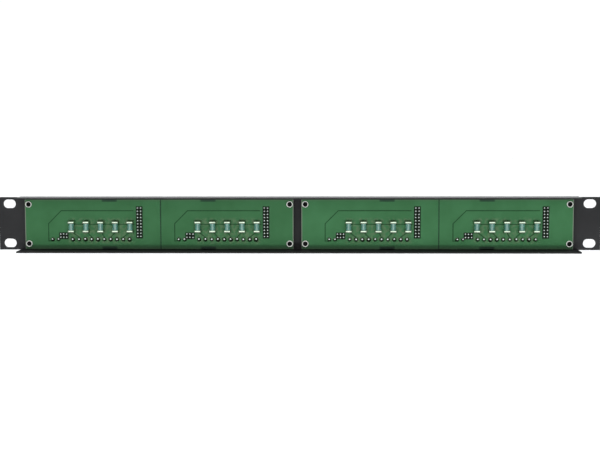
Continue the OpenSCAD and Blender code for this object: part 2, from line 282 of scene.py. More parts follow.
@dataclass(frozen=True)
class PowderCoat(Finish):
    """Fine satin powder coat on sheet steel, which is thin and dull on the cut edges at the rear."""

    rear: float
    dark: Colour = (0.0184, 0.0187, 0.0198)
    light: Colour = (0.0228, 0.0231, 0.0243)
    cut: Colour = (0.0175, 0.0175, 0.018)
    grain: float = 0.35 * MM
    cloud: float = 45 * MM
    soft: float = 0.1 * MM
    roughness: float = 0.58
    uneven: float = 0.16
    cut_dullness: float = 0.3
    specular: float = 0.14
    relief: float = 0.02 * MM

    def paint(self, graph: Graph) -> None:
        """Fills the graph."""
        grain = graph.noise(self.grain, detail=3.0)
        cloud = graph.noise(self.cloud)
        edge = (graph.parts(graph.place)[1] - self.rear).step(2 * self.soft, self.soft)
        graph.surface(
            Base_Color=graph.mix(edge, graph.mottle(cloud, self.dark, self.light), self.cut),
            Roughness=grain.around(self.roughness, self.uneven) + self.cut_dullness * edge,
            Specular_IOR_Level=self.specular,
            Normal=graph.bump(grain, self.relief),
        )


@dataclass(frozen=True)
class SatinMask:
    """The satin surface that solder mask has, on the boards and on their traces."""

    weave: float = 0.5 * MM
    relief: float = 0.02 * MM
    strength: float = 0.4
    roughness: float = 0.54
    uneven: float = 0.12
    specular: float = 0.2

    def end(self, graph: Graph, colour: Value, cloud: Value) -> None:
        """Ends a graph in this surface, with a cloud that varies its roughness."""
        weave = graph.noise(self.weave, detail=1.0)
        graph.surface(
            Base_Color=colour,
            Roughness=cloud.around(self.roughness, self.uneven),
            Specular_IOR_Level=self.specular,
            Normal=graph.bump(weave, self.relief, self.strength),
        )


SATIN_MASK = SatinMask()


@dataclass(frozen=True)
class SolderMask(Finish):
    """Green solder mask over poured copper, with uncoated laminate at its ends, and with the fields round the
    pins painted near-black as the shade between the solder joints.

    The box corners are the board's own, and each window is a centre and two half sizes, measured from the
    start of a module. A paler band painted along the long edges stands for a reflection, and the score line
    is painted darker as the shade in its groove.
    """

    low: Point
    high: Point
    module_w: float
    windows: tuple[Window, ...]
    flux_field: Window
    pour: Colour
    pour_light: Colour
    laminate: Colour = (0.115, 0.145, 0.11)
    # Paler grey for a band along the long edges: a painted reflection.
    painted_edge_sheen: Colour = (0.06, 0.085, 0.055)
    # Near-black for the fields round the pins: painted shade between the solder joints.
    painted_pin_shade: Colour = (0.003, 0.006, 0.004)
    # Dark green for the painted shade in the score line's groove, and for the dark patches at the notches.
    shade: Colour = (0.01, 0.03, 0.018)
    flux: Colour = (0.085, 0.132, 0.07)
    cloud: float = 16 * MM
    cloud_steps: Pair = (0.25, 0.75)
    border: float = 0.6 * MM
    painted_edge_sheen_w: float = 2.4 * MM
    painted_edge_sheen_share: float = 0.5
    score_x: float = 1.5 * MM
    score_w: float = 0.8 * MM
    groove_shade_share: float = 0.95
    mark_x: float = 39.6 * MM
    mark_l: float = 12 * MM
    mark_d: float = 2.2 * MM
    mark_share: float = 0.85
    painted_pin_shade_share: float = 0.95
    blotch: float = 2.6 * MM
    blotch_steps: Pair = (0.38, 0.66)
    flux_soft: float = 2 * MM
    flux_share: float = 0.6
    sawn_steps: Pair = (0.6, 0.4)
    soft: float = 0.25 * MM

    def paint(self, graph: Graph) -> None:
        """Fills the graph."""
        cloud = graph.noise(self.cloud, detail=3.0)
        x, _, z = graph.parts(graph.place)
        from_end = (x - self.low[0]).least(self.high[0] - x)
        from_side = (z - self.low[2]).least(self.high[2] - z)
        aside = x - (self.low[0] + self.high[0]) / 2
        across = aside.math("WRAP", aside, self.module_w, 0.0)
        colour = graph.mix(cloud.step(*self.cloud_steps), self.pour, self.pour_light)
        # Paints a paler band along the long edges as a reflection.
        colour = graph.mix(self.painted_edge_sheen_share * from_side.step(self.painted_edge_sheen_w, 0.0), colour, self.painted_edge_sheen)
        colour = graph.mix(self.stains(graph, across, z), colour, self.flux)
        # Paints the score line darker, as the shade in its groove.
        colour = graph.mix(self.groove_shade_share * self.score(aside), colour, self.shade)
        colour = graph.mix(self.mark_share * self.notches(aside, from_side), colour, self.shade)
        # Paints the fields round the pins near-black, as the shade between the solder joints.
        for window in self.windows:
            field = self.inside(across, z, window, self.soft)
            colour = graph.mix(self.painted_pin_shade_share * field, colour, self.painted_pin_shade)
        colour = graph.mix(from_end.within(self.border, self.soft), colour, self.laminate)
        colour = graph.mix(self.cut_faces(graph), colour, self.laminate)
        SATIN_MASK.end(graph, colour, cloud)

    def score(self, aside: Value) -> Value:
        """1 on the score line between the modules, where its groove's shade is painted, and 0 elsewhere."""
        return abs(aside - self.score_x).within(self.score_w / 2, self.soft)

    def notches(self, aside: Value, from_side: Value) -> Value:
        """1 on the dark places at the break-off notches and 0 elsewhere."""
        along = abs(abs(aside) - self.mark_x).within(self.mark_l / 2, 4 * self.soft)
        return along * from_side.within(self.mark_d, 2 * self.soft)

    def inside(self, across: Value, z: Value, window: Window, soft: float) -> Value:
        """1 inside a window of the module and 0 outside it, with a blurred rim."""
        centre_x, centre_z, half_x, half_z = window
        return abs(across - centre_x).within(half_x, soft) * abs(z - centre_z).within(half_z, soft)

    def stains(self, graph: Graph, across: Value, z: Value) -> Value:
        """How thick the flux is that was left round the resistors and the row of pins."""
        blotch = graph.noise(self.blotch, detail=3.0).step(*self.blotch_steps)
        return self.flux_share * blotch * self.inside(across, z, self.flux_field, self.flux_soft)

    def cut_faces(self, graph: Graph) -> Value:
        """1 on the sawn faces round the board and 0 on its flat faces."""
        normal = graph.node("ShaderNodeNewGeometry", {}, {}, "Normal")
        return abs(graph.parts(normal)[1]).step(*self.sawn_steps)


@dataclass(frozen=True)
class MaskedCopper(Finish):
    """Solder mask that dips beside a trace, so that the trace reads as a darker line."""

    colour: Colour = (0.009, 0.05, 0.015)
    shade: Colour = (0.007, 0.04, 0.012)
    cloud: float = 5 * MM

    def paint(self, graph: Graph) -> None:
        """Fills the graph."""
        cloud = graph.noise(self.cloud)
        SATIN_MASK.end(graph, graph.mottle(cloud, self.shade, self.colour), cloud)


@dataclass(frozen=True)
class BrightMetal(Finish):
    """Bare or plated metal: solder, tin, steel or brass."""

    colour: Colour
    shade: Colour
    roughness: float
    cloud: float = 2.2 * MM
    uneven: float = 0.2
    ripple: float = 0.6 * MM
    depth: float = 0.03 * MM

    def paint(self, graph: Graph) -> None:
        """Fills the graph."""
        cloud = graph.noise(self.cloud)
        graph.surface(
            Base_Color=graph.mottle(cloud, self.shade, self.colour),
            Roughness=cloud.around(self.roughness, self.uneven),
            Metallic=1.0,
            Normal=graph.bump(graph.noise(self.ripple), self.depth),
        )


@dataclass(frozen=True)
class MouldedPlastic(Finish):
    """Moulded plastic with a fine spark-eroded grain."""

    colour: Colour = (0.03, 0.03, 0.032)
    shade: Colour = (0.022, 0.022, 0.024)
    roughness: float = 0.48
    cloud: float = 7 * MM
    grain: float = 0.22 * MM
    uneven: float = 0.18
    specular: float = 0.4
    relief: float = 0.015 * MM

    def paint(self, graph: Graph) -> None:
        """Fills the graph."""
        grain = graph.noise(self.grain)
        graph.surface(
            Base_Color=graph.mottle(graph.noise(self.cloud), self.shade, self.colour),
            Roughness=grain.around(self.roughness, self.uneven),
            Specular_IOR_Level=self.specular,
            Normal=graph.bump(grain, self.relief),
        )


@dataclass(frozen=True)
class Lacquer(Finish):
    """Glossy lacquer on a resistor's ceramic body."""

    colour: Colour = (0.055, 0.185, 0.145)
    shade: Colour = (0.04, 0.15, 0.115)
    cloud: float = 2.5 * MM
    dimple: float = 0.8 * MM
    relief: float = 0.015 * MM
    strength: float = 0.4
    roughness: float = 0.24
    uneven: float = 0.1
    ior: float = 1.8
    specular: float = 1.0
    coat: float = 0.6

    def paint(self, graph: Graph) -> None:
        """Fills the graph."""
        cloud = graph.noise(self.cloud, detail=3.0)
        dimple = graph.noise(self.dimple, detail=1.0)
        graph.surface(
            Base_Color=graph.mottle(cloud, self.shade, self.colour),
            Roughness=cloud.around(self.roughness, self.uneven),
            IOR=self.ior,
            Specular_IOR_Level=self.specular,
            Coat_Weight=self.coat,
            Normal=graph.bump(dimple, self.relief, self.strength),
        )


@dataclass(frozen=True)
class TintedResin(Finish):
    """Clear tinted resin of a lamp."""

    colour: Colour = (0.6, 0.02, 0.015)
    shade: Colour = (0.42, 0.012, 0.01)
    cloud: float = 3 * MM
    roughness: float = 0.1
    uneven: float = 0.06
    ior: float = 1.5
    clearness: float = 0.45
    coat: float = 0.4

    def paint(self, graph: Graph) -> None:
        """Fills the graph."""
        cloud = graph.noise(self.cloud)
        graph.surface(
            Base_Color=graph.mottle(cloud, self.shade, self.colour),
            Roughness=self.roughness + self.uneven * cloud,
            IOR=self.ior,
            Transmission_Weight=self.clearness,
            Coat_Weight=self.coat,
        )


STANDOFF_TIN = BrightMetal("tinned_standoff", Slot.STANDOFF, (0.8, 0.82, 0.78), (0.62, 0.64, 0.6), 0.26)
# Threads painted near-black: painted shade deep in the bores.
STANDOFF_THREAD = BrightMetal("painted_dark_thread", Slot.STANDOFF, (0.02, 0.02, 0.02), (0.01, 0.01, 0.01), 0.5)
SCREW_OXIDE = BrightMetal("blacked_screw", Slot.SCREW, (0.022, 0.022, 0.023), (0.012, 0.012, 0.013), 0.5)
SOCKET_MOULDING = MouldedPlastic(
    "green_moulding", Slot.SOCKET, (0.025, 0.16, 0.055), (0.018, 0.12, 0.042), 0.42
)
CONTACT_TIN = BrightMetal(
    "tinned_contact", Slot.CONTACT, (0.87, 0.97, 0.92), (0.75, 0.85, 0.8), 0.12, depth=0.01 * MM
)
HEADER_MOULDING = MouldedPlastic("black_moulding", Slot.HEADER)
SWITCH_MOULDING = MouldedPlastic(
    "brown_black_moulding", Slot.SWITCH, (0.03, 0.027, 0.024), (0.022, 0.02, 0.018)
)
FRAME_STEEL = BrightMetal("plated_steel", Slot.FRAME, (0.6, 0.61, 0.61), (0.5, 0.51, 0.51), 0.3)
SLIDER_MOULDING = MouldedPlastic("white_moulding", Slot.SLIDER, (0.72, 0.71, 0.66), (0.62, 0.61, 0.56), 0.4)
BRIDGE_BRASS = BrightMetal("bright_brass", Slot.BRIDGE, (0.72, 0.52, 0.2), (0.58, 0.4, 0.14), 0.28)
LAMP_RESIN = TintedResin("red_resin", Slot.LAMP)
RESISTOR_LACQUER = Lacquer("teal_lacquer", Slot.RESISTOR)
CAP_SOLDER = BrightMetal(
    "plated_cap", Slot.SOLDER, (0.78, 0.93, 0.74), (0.58, 0.7, 0.54), 0.12, depth=0.006 * MM
)
# Solder fillets beyond the caps, dulled and darkened: partly flux residue, partly painted shade of the dark
# band above the caps.
FILLET_SOLDER = BrightMetal("flux_and_shade_solder", Slot.SOLDER, (0.3, 0.34, 0.26), (0.18, 0.21, 0.14), 0.3)
# Solder cones round the pins, darkened: partly flux residue, partly a painted dark reflection round the bright
# tips.
JOINT_SOLDER = BrightMetal("flux_and_shade_joint", Slot.CONTACT, (0.24, 0.28, 0.2), (0.14, 0.17, 0.11), 0.3)
TRACE_MASK = MaskedCopper("masked_copper", Slot.BOARD)
# Mask colours of each board; the right board's are a little lighter than the left one's.
MASK_TONES_BY_SIDE = {
    Side.LEFT: ((0.0226, 0.0938, 0.0331), (0.0292, 0.1097, 0.0421)),
    Side.RIGHT: ((0.0249, 0.1036, 0.0373), (0.0319, 0.1205, 0.0468)),
}


def add_object(name: str, data: bpy.types.ID) -> bpy.types.Object:
    """Adds an object to the scene."""
    made = bpy.data.objects.new(name, data)
    bpy.context.scene.collection.objects.link(made)
    return made


class Shape:
    """A mesh under construction, in metres, in the part's frame."""

    def __init__(self) -> None:
        """Starts empty."""
        self.bm = bmesh.new()
        self.flat_faced = False

    def round_edges(self, edges: Iterable[bmesh.types.BMEdge], width: float, segments: int) -> None:
        """Rounds edges to a width, in so many segments."""
        bmesh.ops.bevel(
            self.bm, geom=list(edges), offset=width, offset_type="OFFSET", segments=segments, profile=0.5,
            affect="EDGES", material=-1, clamp_overlap=True,
        )

    def lathe(
        self, profile: Profile, centre: Vector, axis: Vector, steps: int, closed: bool = False
    ) -> Corners:
        """Turns a profile round an axis.

        Args:
            profile: Radius and height points.
            centre: Where the height is 0.
            axis: The direction of the height.
            steps: Facets round the axis.
            closed: Whether the last point joins the first, as on a ring.

        Returns:
            The new corners.
        """
        before = set(self.bm.verts)
        across = axis.orthogonal().normalized()
        verts = [self.bm.verts.new(centre + across * radius + axis * height) for radius, height in profile]
        pairs = list(zip(verts, verts[1:])) + ([(verts[-1], verts[0])] if closed else [])
        edges = [self.bm.edges.new(pair) for pair in pairs]
        bmesh.ops.spin(
            self.bm, geom=verts + edges, cent=centre, axis=axis, angle=math.tau, steps=steps, use_merge=True
        )
        return [vert for vert in self.bm.verts if vert not in before]

    def block(self, low: Vector, high: Vector, round_by: float = 0.0) -> Corners:
        """Adds a box.

        Args:
            low: Its lowest corner.
            high: Its highest corner.
            round_by: The rounding of its edges.

        Returns:
            Its corners, if they weren't rounded.
        """
        place = Matrix.Translation((low + high) / 2) @ Matrix.Diagonal((*(high - low), 1.0))
        verts = bmesh.ops.create_cube(self.bm, size=1.0, matrix=place)["verts"]
        if round_by:
            edges = dict.fromkeys(edge for vert in verts for edge in vert.link_edges)
            self.round_edges(edges, round_by, BLOCK_STEPS)
            return []
        return verts

    def raise_faces(self, verts: Corners) -> Corners:
        """Extrudes the faces round some corners and gives the new corners, still in place."""
        faces = list(dict.fromkeys(face for vert in verts for face in vert.link_faces))
        raised = bmesh.ops.extrude_face_region(self.bm, geom=faces)["geom"]
        return [item for item in raised if isinstance(item, bmesh.types.BMVert)]

    def strip(self, points: Sequence[Vector], width: float, height: float) -> None:
        """Lays a flat strip with mitred corners on a board's rear face.

        Args:
            points: The middle of the strip at its ends and corners, on the face.
            width: Its width.
            height: How far it stands out.
        """
        ways = [(end - start).normalized() for start, end in zip(points, points[1:])]
        verts: Corners = []
        edge = None
        for point, before, after in zip(points, ways[:1] + ways, ways + ways[-1:]):
            along = (before + after).normalized()
            across = REAR.cross(along) * (width / 2 / max(along.dot(before), LEAST_MITRE))
            if edge is None:
                verts = [self.bm.verts.new(point - across), self.bm.verts.new(point + across)]
                edge = self.bm.edges.new(verts)
                continue
            grown = bmesh.ops.extrude_edge_only(self.bm, edges=[edge])["geom"]
            edge = next(item for item in grown if isinstance(item, bmesh.types.BMEdge))
            first, second = edge.verts
            if (second.co - first.co).dot(across) < 0:
                first, second = second, first
            first.co, second.co = point - across, point + across
            verts += [first, second]
        bmesh.ops.translate(self.bm, verts=self.raise_faces(verts), vec=REAR * height)

    def piece(
        self, name: str, body: str, finish: Finish, *replaced: str, crease: float = SHARP
    ) -> None:
        """Closes the mesh and makes it a piece of the part.

        Args:
            name: The piece's name.
            body: The body that it rides on.
            finish: Its finish.
            replaced: The solids that it stands for.
            crease: The angle from which an edge stays sharp.
        """
        bmesh.ops.remove_doubles(self.bm, verts=self.bm.verts, dist=MERGE)
        bmesh.ops.recalc_face_normals(self.bm, faces=self.bm.faces)
        for face in self.bm.faces:
            face.smooth = True
        mesh = bpy.data.meshes.new(name)
        self.bm.to_mesh(mesh)
        self.bm.free()
        mesh.set_sharp_from_angle(angle=crease)
        mesh.materials.append(finish.material())
        made = add_object(name, mesh)
        if self.flat_faced:
            made.modifiers.new("flat_faces", "WEIGHTED_NORMAL").keep_sharp = True
        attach(made, body)
        if replaced:
            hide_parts(*replaced)
        LOG.info("%s: %d faces on %s", name, len(mesh.polygons), body)


def arc(step: float, first: int, last: int) -> list[float]:
    """The angles from one multiple of a step in degrees to another, in radians."""
    return [math.radians(step * i) for i in range(first, last + 1)]


def middle(node: str) -> Vector:
    """The middle of a solid's box."""
    low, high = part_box(node)
    return (low + high) / 2


def dress(frame: Frame, node: str, finish: Finish) -> None:
    """Gives a solid of the frame its finish.

    Args:
        frame: The loaded frame.
        node: The solid's name.
        finish: Its finish.
    """
    solid = frame["nodes"][node]
    solid.data.materials.clear()
    solid.data.materials.append(finish.material())
    LOG.info("%s: dressed as %s", node, finish.slot.value)


def soften(frame: Frame, node: str, edge: float, how: str, finish: Finish) -> None:
    """Puts a copy with softened edges in the place of a fixed solid.

    Args:
        frame: The loaded frame.
        node: The solid's name.
        edge: The width of the rounding.
        how: The word that ends the copy's name.
        finish: Its finish.
    """
    shape = Shape()
    mesh = shape.bm
    mesh.from_mesh(frame["nodes"][node].data)
    bmesh.ops.remove_doubles(mesh, verts=mesh.verts, dist=MERGE)
    bmesh.ops.dissolve_limit(
        mesh, angle_limit=FLAT, use_dissolve_boundaries=False, verts=mesh.verts, edges=mesh.edges
    )
    sharp = [side for side in mesh.edges if side.is_manifold and side.calc_face_angle() > SHARP]
    shape.round_edges(sharp, edge, EDGE_STEPS)
    shape.flat_faced = True
    shape.piece(f"{node}_{how}", PANEL_BODY, finish, node)


@dataclass
class RackPanel:
    """The folded sheet with its ears, slots and flanges."""

    frame: Frame
    edge: float = 0.1 * MM

    def build(self) -> None:
        """Makes the coated sheet with softened edges."""
        coat = PowderCoat("satin_black_coat", Slot.PANEL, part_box("front_panel")[0].y)
        soften(self.frame, "front_panel", self.edge, "coated", coat)


@dataclass
class CircuitBoard:
    """One board with its score line, standoffs and screws."""

    frame: Frame
    side: Side
    standoff_r: float = 2.7 * MM
    shank_r: float = 2.25 * MM
    bore_r: float = 1.8 * MM
    thread_pitch: float = 0.6 * MM
    thread_depth: float = 0.15 * MM
    thread_gap: float = 0.01 * MM
    thread_end: float = 0.42 * MM
    plain_bore: float = 0.1 * MM
    runout: float = 0.25 * MM
    roll: float = 0.3 * MM
    bevel: float = 0.24 * MM
    steps: int = 32
    screw_edge: float = 0.06 * MM
    field_room: float = 0.35 * MM
    flux_room: float = 1.5 * MM

    def build(self) -> None:
        """Dresses the board and makes its fixings."""
        self.build_board()
        self.build_standoffs()
        soften(self.frame, f"{self.side.value}_screws", self.screw_edge, "blacked", SCREW_OXIDE)

    def build_board(self) -> None:
        """Dresses the board in solder mask."""
        node = f"{self.side.value}_board"
        low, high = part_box(node)
        first = MODULES[0] if self.side is Side.LEFT else MODULES[2]
        module_w = middle(f"patch_socket_{first + 1}").x - middle(f"patch_socket_{first}").x
        start = (low.x + high.x) / 2 - module_w
        # Windows round the ribbon pins and switch terminals, where the mask paints near-black shade between the
        # joints.
        windows = tuple(
            self.window(*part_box(f"{pins}_{first}"), start, self.field_room)
            for pins in ("ribbon_pins", "switch_terminals")
        )
        row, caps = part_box(f"patch_contacts_{first}"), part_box(f"resistor_caps_{first}")
        flux = self.window(row[0], Vector((row[1].x, row[1].y, caps[1].z)), start, self.flux_room)
        dress(self.frame, node, SolderMask(
            f"{node}_mask", Slot.BOARD, tuple(low), tuple(high), module_w, windows, flux,
            *MASK_TONES_BY_SIDE[self.side],
        ))

    @staticmethod
    def window(low: Vector, high: Vector, start: float, room: float) -> Window:
        """A box with room round it, as its centre from the module's start and its half sizes."""
        centre, half = (low + high) / 2, (high - low) / 2
        return centre.x - start, centre.z, half.x + room, half.z + room

    def body_profile(self, length: float, front: float, rear: float) -> Profile:
        """Closed section of a standoff, as radius and distance behind its front end.

        Args:
            length: The length of the standoff.
            front: Where the board's front face lies.
            rear: Where the board's rear face lies.

        Returns:
            The points round the body, the shank, the flat collar with its rolled edge, and the bore.
        """
        outer, inner = self.standoff_r, self.bore_r + self.thread_depth
        rolled = [
            (outer - self.roll * (1 - math.cos(angle)), length - self.roll * (1 - math.sin(angle)))
            for angle in arc(15, 0, 6)
        ]
        lip = [
            (self.bore_r + self.bevel * (1 - math.sin(angle)), length - self.bevel * (1 - math.cos(angle)))
            for angle in arc(22.5, 0, 4)
        ]
        return [
            (outer, 0.0), (outer, front), (self.shank_r, front), (self.shank_r, rear), (outer, rear),
            *rolled, *lip, (self.bore_r, rear - self.plain_bore), (inner, rear - self.runout), (inner, 0.0),
        ]

    def thread_profile(self, length: float) -> Profile:
        """Closed section of the thread in a standoff, as radius and distance behind its front end.

        Args:
            length: The length of the thread.

        Returns:
            The points, up the thread and back along the bore's wall.
        """
        wall = self.bore_r + self.thread_depth
        pitch, turns = self.thread_pitch, int(length / self.thread_pitch)
        crests: Profile = []
        for turn in range(turns):
            crests += [(self.bore_r, turn * pitch), (wall - self.thread_gap, (turn + 0.5) * pitch)]
        return crests + [(self.bore_r, turns * pitch), (wall, turns * pitch), (wall, 0.0)]

    def build_standoffs(self) -> None:
        """Turns the four standoffs and cuts their threads."""
        name = f"{self.side.value}_standoffs"
        low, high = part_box(name)
        board_low, board_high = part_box(f"{self.side.value}_board")
        front, rear = high.y - board_high.y, high.y - board_low.y
        body_profile = self.body_profile(high.y - low.y, front, rear)
        thread_profile = self.thread_profile(rear - self.thread_end)
        body, thread = Shape(), Shape()
        for x in (low.x + self.standoff_r, high.x - self.standoff_r):
            for z in (low.z + self.standoff_r, high.z - self.standoff_r):
                place = Vector((x, high.y, z))
                body.lathe(body_profile, place, REAR, self.steps, closed=True)
                thread.lathe(thread_profile, place, REAR, self.steps, closed=True)
        body.piece(f"{name}_turned", PANEL_BODY, STANDOFF_TIN, name)
        # The threads carry the near-black painted shade of the bores.
        thread.piece(f"{name}_threads", PANEL_BODY, STANDOFF_THREAD)


@dataclass
class PinField:
    """A grid of soldered pins that come from the front through a board."""

    node: str
    board_rear: float
    columns: int
    pitch_x: float
    width: float
    ring: float
    tip: float
    steps: int
    rows: int = 1
    pitch_z: float = 0.0
    taper: float = 0.5
    foot: float = 0.64
    hollow: float = 1.25
    cone_steps: int = 5
    dome: float = 0.28
    sunk: float = 0.3
    uneven: float = 0.1
    lean: float = 0.1
    bend: float = 0.15

    def places(self) -> list[Vector]:
        """Pin centres, on the board's rear face."""
        centre = middle(self.node)
        return [
            Vector((
                centre.x + (column - (self.columns - 1) / 2) * self.pitch_x, self.board_rear,
                centre.z + (row - (self.rows - 1) / 2) * self.pitch_z,
            ))
            for column in range(self.columns)
            for row in range(self.rows)
        ]

    def cone_profile(self, swell: float, foot: float) -> Profile:
        """Section of the solder round one pin: radius, and distance behind the board.

        Args:
            swell: How much wider than usual this joint is.
            foot: How far the solder climbs up the pin.

        Returns:
            The points from the board up the hollow cone to the pin.
        """
        ring = self.ring * swell
        shares = [i / self.cone_steps for i in range(self.cone_steps + 1)]
        cone = [(ring + (self.tip - ring) * share, foot * share ** self.hollow) for share in shares]
        return [(0.0, 0.0)] + cone + [(0.0, foot)]

    def tip_profile(self, foot: float, reach: float) -> Profile:
        """Section of the tinned end of one pin: radius, and distance behind the board.

        Args:
            foot: How far the solder climbs up the pin.
            reach: How far the pin stands out behind the board.

        Returns:
            The points from inside the solder to the rounded tip.
        """
        crown = self.dome * self.tip
        end = [
            (self.tip * math.cos(angle), reach - crown + crown * math.sin(angle)) for angle in arc(18, 0, 4)
        ]
        return [(0.0, foot / 2), (self.tip, foot / 2)] + end + [(0.0, reach)]

    def build(self) -> None:
        """Makes the pins, and the solder that holds them."""
        pins, fillets = Shape(), Shape()
        chance = random.Random(self.node)
        low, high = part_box(self.node)
        reach, half = self.board_rear - low.y, self.width / 2
        foot = self.foot * reach
        for place in self.places():
            swell = 1 + chance.uniform(-self.uneven, self.uneven)
            tilt = Vector((chance.uniform(-1, 1), 0, chance.uniform(-1, 1))) * self.lean * self.ring
            tilt += UP * self.bend * self.ring
            bent = fillets.lathe(self.cone_profile(swell, foot), place, REAR, self.steps)
            bent += pins.lathe(self.tip_profile(foot, reach), place, REAR, self.steps)
            for vert in bent:
                vert.co += tilt * ((self.board_rear - vert.co.y) / reach) ** 2
            low_corner = Vector((place.x - half, place.y - self.sunk * reach, place.z - half))
            corners = pins.block(low_corner, Vector((place.x + half, high.y, place.z + half)))
            for corner in corners:
                if corner.co.y > high.y - MERGE:
                    corner.co.x = place.x + (corner.co.x - place.x) * self.taper
                    corner.co.z = place.z + (corner.co.z - place.z) * self.taper
        pins.piece(f"{self.node}_tinned", PANEL_BODY, CONTACT_TIN, self.node, crease=PIN_CREASE)
        # The cones carry the darkened solder: partly flux residue, partly a painted dark reflection.
        fillets.piece(f"{self.node}_fillets", PANEL_BODY, JOINT_SOLDER, crease=PIN_CREASE)


@dataclass
class ResistorRow:
    """The five cylindrical resistors of one module."""

    module: int
    board_rear: float
    steps: int = 24
    waist: float = 0.06 * MM
    bulge: float = 0.8
    belly: float = 0.45
    cap_w: float = 5.0 * MM
    cap_l: float = 1.7 * MM
    cap_edge: float = 0.35 * MM
    solder_w: float = 5.4 * MM
    solder_h: float = 2.0 * MM
    grid_x: int = 12
    grid_z: int = 10
    slope: float = 2.0
    shoulder: float = 12.0
    toe: float = 0.04 * MM

    def centres(self) -> list[Vector]:
        """Middles of the bodies."""
        centre = middle(f"resistor_bodies_{self.module}")
        return [centre + Vector(((i - (RESISTORS - 1) / 2) * RESISTOR_PITCH, 0, 0)) for i in range(RESISTORS)]

    def build(self) -> None:
        """Makes the bodies and the soldered caps."""
        self.build_bodies()
        self.build_caps()

    def build_bodies(self) -> None:
        """Turns the lacquered bodies."""
        node = f"resistor_bodies_{self.module}"
        low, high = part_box(node)
        half, radius = (high.z - low.z) / 2, (high.y - low.y) / 2
        neck, bulge, belly = radius - self.waist, self.bulge * half, self.belly * half
        profile = [
            (0.0, -half), (neck, -half), (radius, -bulge), (neck, -belly),
            (neck, belly), (radius, bulge), (neck, half), (0.0, half),
        ]
        shape = Shape()
        for centre in self.centres():
            shape.lathe(profile, centre, UP, self.steps)
        shape.piece(f"{node}_lacquered", PANEL_BODY, RESISTOR_LACQUER, node)

    def build_caps(self) -> None:
        """Forms the square end caps and lays their solder."""
        node = f"resistor_caps_{self.module}"
        low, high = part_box(node)
        body_low, body_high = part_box(f"resistor_bodies_{self.module}")
        start, reach = (body_high.z - body_low.z) / 2, (high.z - low.z) / 2
        half = Vector((self.cap_w / 2, (high.y - low.y) / 2, self.cap_l / 2))
        caps, fillets = Shape(), Shape()
        for centre in self.centres():
            for axis in (UP, -UP):
                seat = Vector((centre.x, (low.y + high.y) / 2, centre.z)) + axis * (start + self.cap_l / 2)
                caps.block(seat - half, seat + half, self.cap_edge)
                self.lay_solder(fillets, centre, axis, start, reach)
        caps.piece(f"{node}_plated", PANEL_BODY, CAP_SOLDER, node, crease=CAP_CREASE)
        # The fillets carry the darkened solder: partly flux residue, partly painted shade.
        fillets.piece(f"{node}_fillets", PANEL_BODY, FILLET_SOLDER, crease=CAP_CREASE)

    def lay_solder(self, shape: Shape, centre: Vector, axis: Vector, start: float, reach: float) -> None:
        """Adds the solder under one cap.

        Args:
            shape: The mesh to add to.
            centre: The middle of the resistor.
            axis: The way from the middle to this cap.
            start: How far from the middle the solder starts.
            reach: How far from the middle it ends.
        """
        seat = Vector((centre.x, self.board_rear, centre.z)) + axis * (start + reach) / 2
        place = Matrix.Translation(seat) @ Matrix.Rotation(math.radians(90), 4, "X")
        size = Matrix.Diagonal((self.solder_w, reach - start, 1.0, 1.0))
        verts = bmesh.ops.create_grid(
            shape.bm, x_segments=self.grid_x, y_segments=self.grid_z, size=0.5, matrix=place @ size
        )["verts"]
        for vert in shape.raise_faces(verts):
            along = abs(vert.co.z - centre.z) - start
            out = min(max((along - self.cap_l) / (reach - start - self.cap_l), 0.0), 1.0)
            aside = min(abs(vert.co.x - centre.x) / (self.solder_w / 2), 1.0)
            mound = (1 - out) ** self.slope * (1 - aside ** self.shoulder)
            vert.co += REAR * (self.toe + (self.solder_h - self.toe) * mound)


@dataclass
class SlideSwitch:
    """The small two-way slide switch of one module."""

    frame: Frame
    module: int
    knob: float = 1.8 * MM
    carriage: float = 0.9 * MM
    ridges: int = 3
    ridge_share: float = 0.64
    edge: float = 0.12 * MM

    def build(self) -> None:
        """Makes the base, the steel frame and the slider."""
        for piece, finish in (("switch_base", SWITCH_MOULDING), ("switch_frame", FRAME_STEEL)):
            soften(self.frame, f"{piece}_{self.module}", self.edge / 2, "formed", finish)
        self.build_slider()
        dress(self.frame, f"switch_bridges_{self.module}", BRIDGE_BRASS)

    def build_slider(self) -> None:
        """Makes the slider, with grip ridges across its knob."""
        node = f"switch_slider_{self.module}"
        low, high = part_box(node)
        centre, half = (low + high) / 2, self.knob / 2
        shape = Shape()
        shape.block(low, Vector((high.x, low.y + self.carriage, high.z)), self.edge)
        neck = high.y - 2 * self.edge
        shape.block(
            Vector((centre.x - half, low.y + self.carriage / 2, centre.z - half)),
            Vector((centre.x + half, neck, centre.z + half)), self.edge,
        )
        step = self.knob / self.ridges
        ridge = step * self.ridge_share / 2
        for i in range(self.ridges):
            x = centre.x - half + (i + 0.5) * step
            shape.block(
                Vector((x - ridge, neck - 2 * self.edge, centre.z - half + self.edge)),
                Vector((x + ridge, high.y, centre.z + half - self.edge)), self.edge / 2,
            )
        shape.piece(f"{node}_moulded", f"slider_{self.module}", SLIDER_MOULDING, node)


@dataclass
class Lamp:
    """The lens of one module's lamp."""

    module: int
    lens_r: float = 2.5 * MM
    flange: float = 1.0 * MM
    rim: float = 0.15 * MM
    steps: int = 28

    def build(self) -> None:
        """Turns the lens with its flange and dome."""
        node = f"lamp_lens_{self.module}"
        low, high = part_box(node)
        centre, outer, rim = (low + high) / 2, (high.x - low.x) / 2, self.rim
        seat = Vector((centre.x, low.y, centre.z))
        shoulder = high.y - low.y - self.lens_r
        dome = [
            (self.lens_r * math.cos(angle), shoulder + self.lens_r * math.sin(angle)) for angle in arc(12, 1, 6)
        ]
        profile = [
            (0.0, 0.0), (outer - rim, 0.0), (outer, rim), (outer, self.flange - rim),
            (outer - rim, self.flange), (self.lens_r, self.flange), (self.lens_r, shoulder), *dome,
            (0.0, high.y - low.y),
        ]
        shape = Shape()
        shape.lathe(profile, seat, FRONT, self.steps)
        shape.piece(f"{node}_cast", PANEL_BODY, LAMP_RESIN, node)


